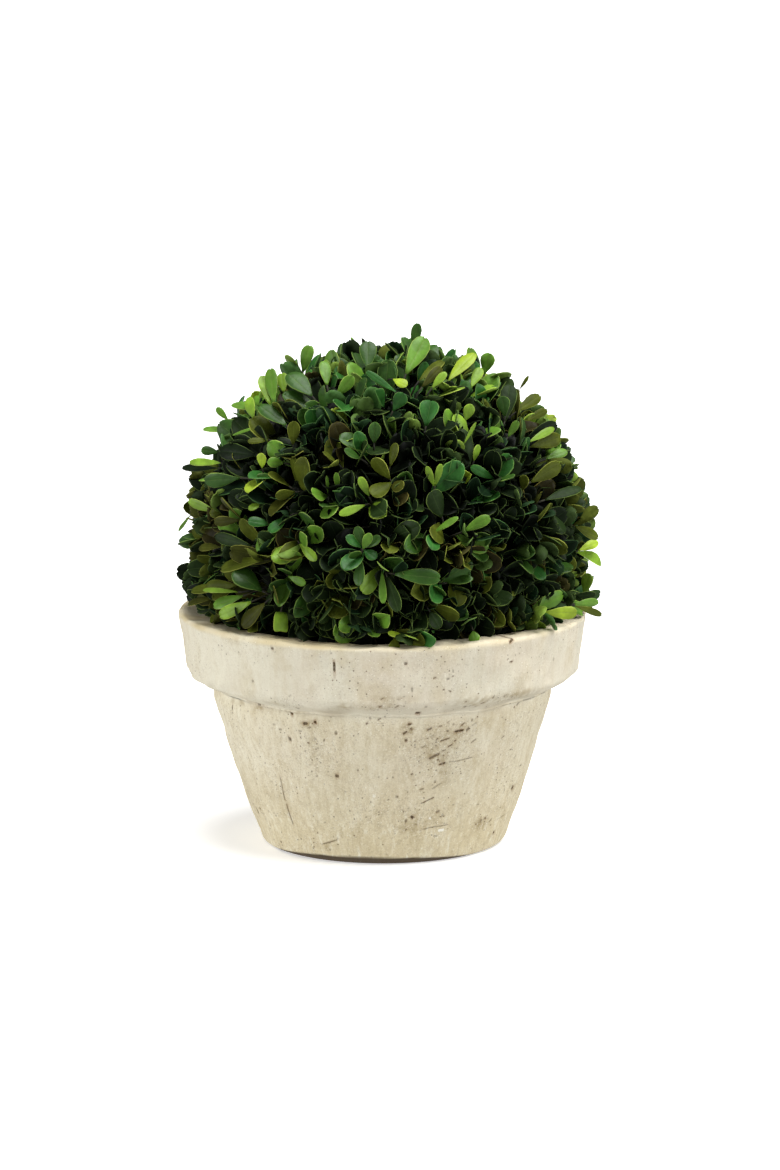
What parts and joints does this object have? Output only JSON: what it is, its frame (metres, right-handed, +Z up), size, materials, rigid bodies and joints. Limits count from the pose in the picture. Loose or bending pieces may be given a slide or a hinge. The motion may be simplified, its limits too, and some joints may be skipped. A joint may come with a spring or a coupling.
{
  "type": "potted box topiary ball",
  "caption": "Small evergreen box shrub clipped to a ball, in a thick round cement pot with a stepped rim.",
  "frame": {"origin": "centre of the pot's flat underside, at the level that it stands on", "axes": "+Z up the pot and the stem, +X to the right and -Y towards the viewer in the reference view"},
  "size_m": [0.2108, 0.2072, 0.2569],
  "materials": {
    "weathered_cement": "aged cream cement, matt, with pits, hairline cracks, brush streaks and tan stains",
    "potting_mix": "dark loose bark and fibre",
    "box_bark": "grey-brown, finely fissured",
    "box_leaf": "satin evergreen leaf, dark to yellow-green, with a paler underside"
  },
  "bodies": {
    "root": {"pot": "weathered_cement", "potting_mix": "potting_mix", "stem": "box_bark", "crown": "box_leaf"}
  },
  "joints": []
}
